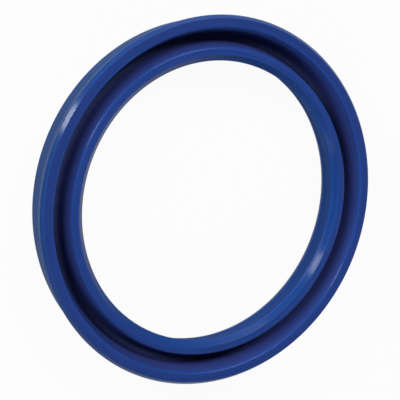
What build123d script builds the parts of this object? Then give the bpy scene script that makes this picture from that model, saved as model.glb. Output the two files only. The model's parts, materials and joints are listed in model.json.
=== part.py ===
from build123d import *
import os

# U cup seal: a lip seal for a hydraulic rod, moulded in one piece of polyurethane.
# Millimetres. The heel face lies on Z = 0 and the groove opens towards +Z.

# Housing that the seal fits
rod_diameter = 60.0
housing_diameter = 75.0
seal_height = 8.0

# Heel: the plain end, a little slimmer than the housing, with chamfered corners
heel_inner_radius = rod_diameter / 2 + 0.1
heel_outer_radius = housing_diameter / 2 - 0.3
inner_heel_chamfer = 1.5
outer_heel_chamfer = 0.25
inner_heel_wall = 3.3
outer_heel_wall = 3.4

# Lips: both flare past the housing, so they press on the rod and on the bore
inner_lip_radius = rod_diameter / 2 - 0.85
outer_lip_radius = housing_diameter / 2 + 1.1
outer_lip_rounding = 0.3
inner_lip_rounding = 0.5

# Lip fronts: a flat land beside the groove, then a bevel down to the sealing edge
outer_crest_radius = 36.0
outer_land_end_radius = 37.92
outer_bevel_depth = 0.9
inner_crest_radius = 32.0
inner_land_end_radius = 30.43
inner_bevel_depth = 1.28
inner_crest_height = seal_height - 0.35
crest_rounding = 0.5

# Groove: two sloping flanks and a narrow floor
groove_middle_radius = 33.7
groove_floor_width = 1.3
groove_floor_height = 3.8


def outer_lip():
    """Corners of the section from the outer heel corner to the groove: radius, height, rounding."""
    return [
        (heel_outer_radius - outer_heel_chamfer, 0, 0),
        (heel_outer_radius, outer_heel_chamfer, 0),
        (heel_outer_radius, outer_heel_wall, 0),
        (outer_lip_radius, seal_height - outer_bevel_depth, outer_lip_rounding),
        (outer_land_end_radius, seal_height, 0),
        (outer_crest_radius, seal_height, crest_rounding),
    ]


def groove_floor():
    """Corners of the section at the bottom of the groove."""
    return [
        (groove_middle_radius + groove_floor_width / 2, groove_floor_height, 0),
        (groove_middle_radius - groove_floor_width / 2, groove_floor_height, 0),
    ]


def inner_lip():
    """Corners of the section from the groove to the inner heel corner: radius, height, rounding."""
    return [
        (inner_crest_radius, inner_crest_height, crest_rounding),
        (inner_land_end_radius, inner_crest_height, 0),
        (inner_lip_radius, inner_crest_height - inner_bevel_depth, inner_lip_rounding),
        (heel_inner_radius, inner_heel_wall, 0),
        (heel_inner_radius, inner_heel_chamfer, 0),
        (heel_inner_radius + inner_heel_chamfer, 0, 0),
    ]


def section():
    """The seal's section, standing on the XZ plane beside the Z axis."""
    corners = outer_lip() + groove_floor() + inner_lip()
    outline = Polyline(*[(radius, height) for radius, height, rounding in corners], close=True)
    profile = make_face(outline)
    for radius, height, rounding in corners:
        if rounding:
            corner = profile.vertices().sort_by_distance((radius, height, 0))[0]
            profile = fillet(corner, rounding)
    return Plane.XZ * profile


def seal_ring():
    """The whole seal: its section turned once round the Z axis."""
    return revolve(section(), Axis.Z, 360)


os.makedirs("parts", exist_ok=True)
export_step(seal_ring(), "parts/seal_ring.step")
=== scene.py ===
import bpy
import bmesh
import json
from math import cos, pi, radians, sin, tan
from mathutils import Matrix, Vector


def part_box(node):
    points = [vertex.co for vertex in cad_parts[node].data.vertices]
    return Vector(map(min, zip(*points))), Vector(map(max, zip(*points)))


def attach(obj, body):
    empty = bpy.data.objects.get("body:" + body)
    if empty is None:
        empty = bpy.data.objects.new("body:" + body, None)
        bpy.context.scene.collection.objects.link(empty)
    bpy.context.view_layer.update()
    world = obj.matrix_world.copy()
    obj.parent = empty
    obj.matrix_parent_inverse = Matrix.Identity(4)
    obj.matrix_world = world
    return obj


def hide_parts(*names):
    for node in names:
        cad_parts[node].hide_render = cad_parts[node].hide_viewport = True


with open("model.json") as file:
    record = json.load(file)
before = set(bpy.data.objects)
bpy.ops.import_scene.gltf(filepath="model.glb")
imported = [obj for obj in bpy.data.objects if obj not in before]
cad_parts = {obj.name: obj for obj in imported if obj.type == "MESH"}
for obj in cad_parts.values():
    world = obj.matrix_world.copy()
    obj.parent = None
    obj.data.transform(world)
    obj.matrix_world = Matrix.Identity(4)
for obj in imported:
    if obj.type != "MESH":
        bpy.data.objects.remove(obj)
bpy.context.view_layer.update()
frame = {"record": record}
mm = 0.001
print("frame loaded")


# the mounts give the heel's two walls, and the box gives the height and the outer lip
mounts = {mount["name"]: mount for mount in frame["record"]["mounts"]}
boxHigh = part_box("seal_ring")[1]

ring = {
    "height": boxHigh.z,
    "outerLip": boxHigh.x,
    "outerLipExtra": 0.03 * mm,  # its rounding takes this off again
    "outerHeel": mounts["housing_fit"]["dims"]["r_mm"] * mm,
    "innerHeel": mounts["rod_bore"]["dims"]["r_mm"] * mm,
    "innerLip": 29.15 * mm,
    "outerHeelWall": 3.4 * mm,
    "innerHeelWall": 3.3 * mm,
    "outerHeelRounding": 0.3 * mm,
    "innerHeelRounding": 2.2 * mm,
    "flareRounding": 3.0 * mm,
    "outerLipRounding": 0.3 * mm,
    "innerLipRounding": 0.5 * mm,
    "outerBevelDepth": 0.9 * mm,
    "outerLandEnd": 37.92 * mm,
    "outerCrest": 36.0 * mm,
    "innerDrop": 0.35 * mm,
    "innerBevelDepth": 1.28 * mm,
    "innerLandEnd": 30.43 * mm,
    "innerCrest": 32.0 * mm,
    "landEndRounding": 0.10 * mm,
    "crestRounding": 0.35 * mm,
    "crestEdgeShare": 1.4,  # width of the crest edges' finish, in crest roundings
    "lipEdgeShare": 0.9,  # height of the inner lip's finish, in inner lip roundings
    "grooveMiddle": 33.7 * mm,
    "grooveApex": 2.2 * mm,
    "grooveRounding": 0.9 * mm,
    "pointGap": 0.25 * mm,  # straight runs of the section are cut this finely
    "mergeGap": 0.001 * mm,
    "heelFaceBand": 0.01 * mm,  # faces below this lie on the heel face
    "arcPoints": 10,
    "turns": 320,  # steps round the ring
}


def sectionCorners():
    top = ring["height"]
    innerTop = top - ring["innerDrop"]
    outerLip = ring["outerLip"] + ring["outerLipExtra"]
    # radius, height, rounding: up the outside, down into the groove, down the inside
    return [
        (ring["outerHeel"], 0.0, ring["outerHeelRounding"]),
        (ring["outerHeel"], ring["outerHeelWall"], ring["flareRounding"]),
        (outerLip, top - ring["outerBevelDepth"], ring["outerLipRounding"]),
        (ring["outerLandEnd"], top, ring["landEndRounding"]),
        (ring["outerCrest"], top, ring["crestRounding"]),
        (ring["grooveMiddle"], ring["grooveApex"], ring["grooveRounding"]),
        (ring["innerCrest"], innerTop, ring["crestRounding"]),
        (ring["innerLandEnd"], innerTop, ring["landEndRounding"]),
        (ring["innerLip"], innerTop - ring["innerBevelDepth"], ring["innerLipRounding"]),
        (ring["innerHeel"], ring["innerHeelWall"], ring["flareRounding"]),
        (ring["innerHeel"], 0.0, ring["innerHeelRounding"]),
    ]


def roundCorner(bm, vert, radius):
    first, second = [(edge.other_vert(vert).co - vert.co).normalized() for edge in vert.link_edges]
    halfAngle = first.angle(second) / 2
    bmesh.ops.bevel(bm, geom=[vert], offset=radius / tan(halfAngle), offset_type="OFFSET",
                    segments=ring["arcPoints"], profile=0.5, affect="VERTICES", clamp_overlap=False,
                    material=-1)


def makeRing():
    bm = bmesh.new()
    corners = sectionCorners()
    verts = [bm.verts.new((radius, 0, height)) for radius, height, rounding in corners]
    bm.faces.new(verts)
    for vert, (radius, height, rounding) in zip(verts, corners):
        roundCorner(bm, vert, rounding)
    bmesh.ops.delete(bm, geom=bm.faces[:], context="FACES_ONLY")
    for edge in bm.edges[:]:
        cuts = int(edge.calc_length() / ring["pointGap"])
        if cuts:
            bmesh.ops.subdivide_edges(bm, edges=[edge], cuts=cuts)
    bmesh.ops.spin(bm, geom=bm.verts[:] + bm.edges[:], cent=(0, 0, 0), axis=(0, 0, 1), angle=2 * pi,
                   steps=ring["turns"], use_merge=True, use_duplicate=False)
    bmesh.ops.remove_doubles(bm, verts=bm.verts[:], dist=ring["mergeGap"])
    bmesh.ops.recalc_face_normals(bm, faces=bm.faces[:])
    for face in bm.faces:
        face.smooth = True
        face.material_index = finishOf(face)
    mesh = bpy.data.meshes.new("sealRing")
    bm.to_mesh(mesh)
    bm.free()
    piece = bpy.data.objects.new("sealRing", mesh)
    bpy.context.scene.collection.objects.link(piece)
    return piece


polyurethane = {
    "cloudScale": 120,
    "cloudDetail": 4,
    "cloudiness": 0.10,
    "bandScale": 2200,
    "bandDetail": 2,
    "streakScale": 9000,
    "streakDetail": 2,
    "streakLength": 0.02,
    "grainScale": 2500,
    "grainDetail": 3,
    "grainShare": 0.5,
    "bumpDepth": 0.02 * mm,
    "glossTurn": 0.25,  # a quarter turn stretches the gloss across the cutting marks
}

# one finish for each kind of surface; colours go by height, from below the groove (0) to the crests (1). The
# kinds' colours are partly painted light and shade: lighter and darker copies of the one blue, set per
# surface to stand in for how the light falls on it
finishes = {
    "outerBevel": {
        "colours": [(1.0, (0.0090, 0.0395, 0.166, 1))],
        "roughness": (0.17, 0.30),
        "specular": 0.23,
        "anisotropy": 0.9,
        "marks": 0.20,
        "banding": 0.25,
    },
    "innerBevel": {
        "colours": [(1.0, (0.0092, 0.0410, 0.182, 1))],
        "roughness": (0.15, 0.28),
        "specular": 0.17,
        "anisotropy": 0.8,
        "marks": 0.30,
        "banding": 0.45,
    },
    "outerLand": {
        "colours": [(1.0, (0.0152, 0.0395, 0.180, 1))],
        "roughness": (0.26, 0.36),
        "specular": 0.10,
        "anisotropy": 0.6,
        "marks": 0.12,
        "banding": 0.20,
    },
    "innerLand": {
        "colours": [(1.0, (0.0152, 0.0430, 0.199, 1))],
        "roughness": (0.26, 0.36),
        "specular": 0.10,
        "anisotropy": 0.6,
        "marks": 0.12,
        "banding": 0.25,
    },
    "crestEdge": {
        "colours": [(1.0, (0.0150, 0.0440, 0.200, 1))],
        "roughness": (0.15, 0.21),
        "specular": 0.11,
        "anisotropy": 0.0,
        "marks": 0.10,
        "banding": 0.20,
    },
    "outerSide": {
        # painted shade: the outer side is darker low down by the floor and lighter up at the flare
        "colours": [(0.0, (0.0110, 0.0405, 0.138, 1)), (1.0, (0.0140, 0.0550, 0.185, 1))],
        "roughness": (0.32, 0.44),
        "specular": 0.06,
        "anisotropy": 0.6,
        "marks": 0.10,
        "banding": 0.35,
    },
    "innerLip": {
        "colours": [(1.0, (0.0105, 0.0420, 0.178, 1))],
        "roughness": (0.36, 0.46),
        "specular": 0.10,
        "anisotropy": 0.5,
        "marks": 0.15,
        "banding": 0.45,
    },
    "boreSide": {
        "colours": [(1.0, (0.0098, 0.0360, 0.152, 1))],
        "roughness": (0.52, 0.66),
        "specular": 0.02,
        "anisotropy": 0.0,
        "marks": 0.10,
        "banding": 0.45,
    },
    "heelRim": {
        "colours": [(1.0, (0.0150, 0.0430, 0.160, 1))],
        "roughness": (0.30, 0.40),
        "specular": 0.14,
        "anisotropy": 0.6,
        "marks": 0.20,
        "banding": 0.35,
    },
    "grooveShadePainted": {
        # painted shade: the groove's colour gets darker and more violet with depth, where shade falls
        "colours": [
            (0.0, (0.0340, 0.0490, 0.122, 1)),
            (0.3, (0.0230, 0.0295, 0.124, 1)),
            (1.0, (0.0165, 0.0360, 0.162, 1)),
        ],
        "roughness": (0.40, 0.52),
        "specular": 0.05,
        "anisotropy": 0.0,
        "marks": 0.10,
        "banding": 0.15,
    },
}


def addNoise(material, vector, kind):
    noise = material.node_tree.nodes.new("ShaderNodeTexNoise")
    noise.inputs["Scale"].default_value = polyurethane[kind + "Scale"]
    noise.inputs["Detail"].default_value = polyurethane[kind + "Detail"]
    material.node_tree.links.new(vector, noise.inputs["Vector"])
    return noise.outputs["Fac"]


def addRange(material, value, low, high):
    spread = material.node_tree.nodes.new("ShaderNodeMapRange")
    spread.inputs["To Min"].default_value = low
    spread.inputs["To Max"].default_value = high
    material.node_tree.links.new(value, spread.inputs["Value"])
    return spread.outputs["Result"]


def makeFinish(name, finish):
    material = bpy.data.materials.new(name)
    material.use_nodes = True
    nodes, links = material.node_tree.nodes, material.node_tree.links
    shader = nodes["Principled BSDF"]
    shader.inputs["Specular IOR Level"].default_value = finish["specular"]
    shader.inputs["Anisotropic"].default_value = finish["anisotropy"]
    shader.inputs["Anisotropic Rotation"].default_value = polyurethane["glossTurn"]
    coords = nodes.new("ShaderNodeTexCoord")
    place = nodes.new("ShaderNodeSeparateXYZ")
    links.new(coords.outputs["Object"], place.inputs["Vector"])

    # round the ring: the direction of the cutting marks; its length is the radius
    around = nodes.new("ShaderNodeVectorMath")
    around.operation = "CROSS_PRODUCT"
    around.inputs[0].default_value = (0, 0, 1)
    links.new(coords.outputs["Object"], around.inputs[1])
    links.new(around.outputs["Vector"], shader.inputs["Tangent"])
    radius = nodes.new("ShaderNodeVectorMath")
    radius.operation = "LENGTH"
    links.new(around.outputs["Vector"], radius.inputs[0])

    # coordinates that hardly change round the ring, for noise drawn out into long streaks
    section = nodes.new("ShaderNodeCombineXYZ")
    links.new(radius.outputs["Value"], section.inputs["X"])
    links.new(place.outputs["Z"], section.inputs["Y"])
    along = nodes.new("ShaderNodeVectorMath")
    along.operation = "MULTIPLY_ADD"
    along.inputs[1].default_value = [polyurethane["streakLength"]] * 3
    links.new(coords.outputs["Object"], along.inputs[0])
    links.new(section.outputs["Vector"], along.inputs[2])

    # colour: painted shade by height, darker and more violet down in the groove and darker low on the outer
    # side, where less light falls; with faint clouds and bands
    depth = nodes.new("ShaderNodeMapRange")
    depth.inputs["From Min"].default_value = ring["grooveApex"] + ring["grooveRounding"]
    depth.inputs["From Max"].default_value = ring["height"] - ring["crestRounding"]
    links.new(place.outputs["Z"], depth.inputs["Value"])
    base = nodes.new("ShaderNodeValToRGB")
    stops = base.color_ramp.elements
    stops.remove(stops[0])
    for share, colour in finish["colours"]:
        stop = stops.new(share) if share < 1 else stops[-1]
        stop.color = colour
    links.new(depth.outputs["Result"], base.inputs["Fac"])
    clouds = addNoise(material, coords.outputs["Object"], "cloud")
    cloudy = addRange(material, clouds, 1 - polyurethane["cloudiness"], 1 + polyurethane["cloudiness"])
    bands = addNoise(material, along.outputs["Vector"], "band")
    banded = addRange(material, bands, 1 - finish["banding"], 1 + finish["banding"])
    shade = nodes.new("ShaderNodeMath")
    shade.operation = "MULTIPLY"
    links.new(cloudy, shade.inputs[0])
    links.new(banded, shade.inputs[1])
    tint = nodes.new("ShaderNodeVectorMath")
    tint.operation = "SCALE"
    links.new(base.outputs["Color"], tint.inputs["Vector"])
    links.new(shade.outputs["Value"], tint.inputs["Scale"])
    links.new(tint.outputs["Vector"], shader.inputs["Base Color"])

    # marks: long thin streaks round the ring mixed with a fine grain
    streaks = addNoise(material, along.outputs["Vector"], "streak")
    grain = addNoise(material, coords.outputs["Object"], "grain")
    marks = nodes.new("ShaderNodeMix")
    marks.inputs["Factor"].default_value = polyurethane["grainShare"]
    links.new(streaks, marks.inputs["A"])
    links.new(grain, marks.inputs["B"])
    bump = nodes.new("ShaderNodeBump")
    bump.inputs["Strength"].default_value = finish["marks"]
    bump.inputs["Distance"].default_value = polyurethane["bumpDepth"]
    links.new(marks.outputs["Result"], bump.inputs["Height"])
    links.new(bump.outputs["Normal"], shader.inputs["Normal"])

    gloss = addRange(material, streaks, *finish["roughness"])
    links.new(gloss, shader.inputs["Roughness"])
    return material


def finishOf(face):
    # which of the finishes a face gets, from its radius and height
    centre = face.calc_center_median()
    radius = centre.xy.length
    outer = radius > ring["grooveMiddle"]
    top = ring["height"] if outer else ring["height"] - ring["innerDrop"]
    bevelDepth = ring["outerBevelDepth"] if outer else ring["innerBevelDepth"]
    crestWidth = ring["crestEdgeShare"] * ring["crestRounding"]
    lipWidth = ring["lipEdgeShare"] * ring["innerLipRounding"]
    inGroove = radius < ring["outerCrest"] if outer else radius > ring["innerCrest"]
    onCrest = radius < ring["outerCrest"] + crestWidth if outer else radius > ring["innerCrest"] - crestWidth
    onBevel = radius > ring["outerLandEnd"] if outer else radius < ring["innerLandEnd"]
    # faces down in the groove get the colour with painted shade
    if inGroove and ring["innerHeelWall"] < centre.z < top - ring["crestRounding"]:
        name = "grooveShadePainted"
    elif onCrest and centre.z > top - ring["crestRounding"]:
        name = "crestEdge"
    elif outer and centre.z < top - bevelDepth or centre.z < ring["heelFaceBand"]:
        name = "outerSide"
    elif centre.z < ring["innerHeelRounding"]:
        name = "heelRim"
    elif centre.z < top - bevelDepth:
        name = "boreSide"
    elif not outer and centre.z < top - bevelDepth + lipWidth:
        name = "innerLip"
    else:
        name = ("outer" if outer else "inner") + ("Bevel" if onBevel else "Land")
    return list(finishes).index(name)


sealRing = makeRing()
for name, finish in finishes.items():
    sealRing.data.materials.append(makeFinish(name, finish))
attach(sealRing, "root")
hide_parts("seal_ring")
print("seal made")


studio = {
    "floorSize": 3.0,
    "floorGap": 0.03 * mm,
    "floorColour": (0.50, 0.50, 0.50, 1),
    "floorRoughness": 0.9,
    "backdropShare": 0.95,
    "world": (0.06, 0.06, 0.065, 1),
}


def makeFloor():
    bm = bmesh.new()
    bmesh.ops.create_grid(bm, x_segments=1, y_segments=1, size=studio["floorSize"] / 2)
    bmesh.ops.translate(bm, verts=bm.verts[:], vec=(0, 0, -studio["floorGap"]))
    mesh = bpy.data.meshes.new("floor")
    bm.to_mesh(mesh)
    bm.free()
    floor = bpy.data.objects.new("floor", mesh)
    bpy.context.scene.collection.objects.link(floor)
    mesh.materials.append(makeFloorPaint())


def makeFloorPaint():
    material = bpy.data.materials.new("paleFloor")
    material.use_nodes = True
    nodes, links = material.node_tree.nodes, material.node_tree.links
    shader = nodes["Principled BSDF"]
    shader.inputs["Base Color"].default_value = studio["floorColour"]
    shader.inputs["Roughness"].default_value = studio["floorRoughness"]
    shader.inputs["Specular IOR Level"].default_value = 0.0
    white = nodes.new("ShaderNodeEmission")
    # the camera, and what the ring mirrors, see a nearly white floor that keeps the ring's shadow
    path = nodes.new("ShaderNodeLightPath")
    seen = nodes.new("ShaderNodeMath")
    seen.operation = "MAXIMUM"
    links.new(path.outputs["Is Camera Ray"], seen.inputs[0])
    links.new(path.outputs["Is Glossy Ray"], seen.inputs[1])
    seenToo = nodes.new("ShaderNodeMath")
    seenToo.operation = "MAXIMUM"
    links.new(seen.outputs[0], seenToo.inputs[0])
    links.new(path.outputs["Is Transmission Ray"], seenToo.inputs[1])
    share = nodes.new("ShaderNodeMath")
    share.operation = "MULTIPLY"
    share.inputs[1].default_value = studio["backdropShare"]
    links.new(seenToo.outputs[0], share.inputs[0])
    blend = nodes.new("ShaderNodeMixShader")
    links.new(share.outputs[0], blend.inputs["Fac"])
    links.new(shader.outputs["BSDF"], blend.inputs[1])
    links.new(white.outputs["Emission"], blend.inputs[2])
    # from below the floor is clear, so that the heel face shows
    sides = nodes.new("ShaderNodeNewGeometry")
    oneWay = nodes.new("ShaderNodeMixShader")
    clear = nodes.new("ShaderNodeBsdfTransparent")
    links.new(sides.outputs["Backfacing"], oneWay.inputs["Fac"])
    links.new(blend.outputs["Shader"], oneWay.inputs[1])
    links.new(clear.outputs["BSDF"], oneWay.inputs[2])
    links.new(oneWay.outputs["Shader"], nodes["Material Output"].inputs["Surface"])
    return material


def makeWorld():
    world = bpy.data.worlds.new("studio")
    bpy.context.scene.world = world
    world.use_nodes = True
    background = world.node_tree.nodes["Background"]
    background.inputs["Color"].default_value = studio["world"]


lamps = {
    # azimuth and elevation in degrees, distance, width and height in metres, radiance, seen in the gloss
    "strip": (168, 21, 1.20, 0.25, 0.70, 26.5, True),
    "side": (92, 44, 1.20, 0.68, 0.30, 13.8, True),
    "low": (98, 10, 1.20, 0.34, 0.16, 3.6, True),
    "back": (5, 14, 1.20, 0.70, 0.40, 2.4, True),
    "corner": (251, 36, 1.20, 0.26, 0.22, 4.2, True),
    "rear": (282, 17, 1.20, 0.90, 0.36, 7.0, False),
    "fill": (115, 40, 1.20, 0.80, 0.60, 2.3, False),
}


def makeLamp(name, azimuth, elevation, distance, width, height, radiance, inGloss):
    data = bpy.data.lights.new(name, "AREA")
    data.shape = "RECTANGLE"
    data.size = width
    data.size_y = height
    data.energy = radiance * pi * width * height
    lamp = bpy.data.objects.new(name, data)
    bpy.context.scene.collection.objects.link(lamp)
    lamp.visible_glossy = inGloss
    turn, lift = radians(azimuth), radians(elevation)
    place = distance * Vector((cos(turn) * cos(lift), sin(turn) * cos(lift), sin(lift)))
    lamp.matrix_world = Matrix.Translation(place) @ (-place).to_track_quat("-Z", "Y").to_matrix().to_4x4()


# the camera looks down on the ring, this many degrees off its axis, and aims near its middle at crest height
view = {
    "offAxis": 32.09,
    "distance": 296.6 * mm,
    "aimX": -3.91 * mm,
    "aimY": -0.42 * mm,
    "roll": 111.86,
    "lens": 130.5,
    "sensorWidth": 36,
    "clipStart": 10 * mm,
}


def makeCamera():
    data = bpy.data.cameras.new("camera")
    data.lens = view["lens"]
    data.sensor_width = view["sensorWidth"]
    data.clip_start = view["clipStart"]
    camera = bpy.data.objects.new("camera", data)
    bpy.context.scene.collection.objects.link(camera)
    tilt = radians(view["offAxis"])
    place = view["distance"] * Vector((-sin(tilt), 0, cos(tilt))) + Vector((0, 0, ring["height"]))
    aim = Vector((view["aimX"], view["aimY"], ring["height"]))
    turn = (aim - place).to_track_quat("-Z", "Y").to_matrix().to_4x4()
    camera.matrix_world = Matrix.Translation(place) @ turn @ Matrix.Rotation(radians(view["roll"]), 4, "Z")
    bpy.context.scene.camera = camera


makeFloor()
makeWorld()
for name, values in lamps.items():
    makeLamp(name, *values)
makeCamera()
bpy.context.scene.view_settings.view_transform = "Standard"
print("studio made")
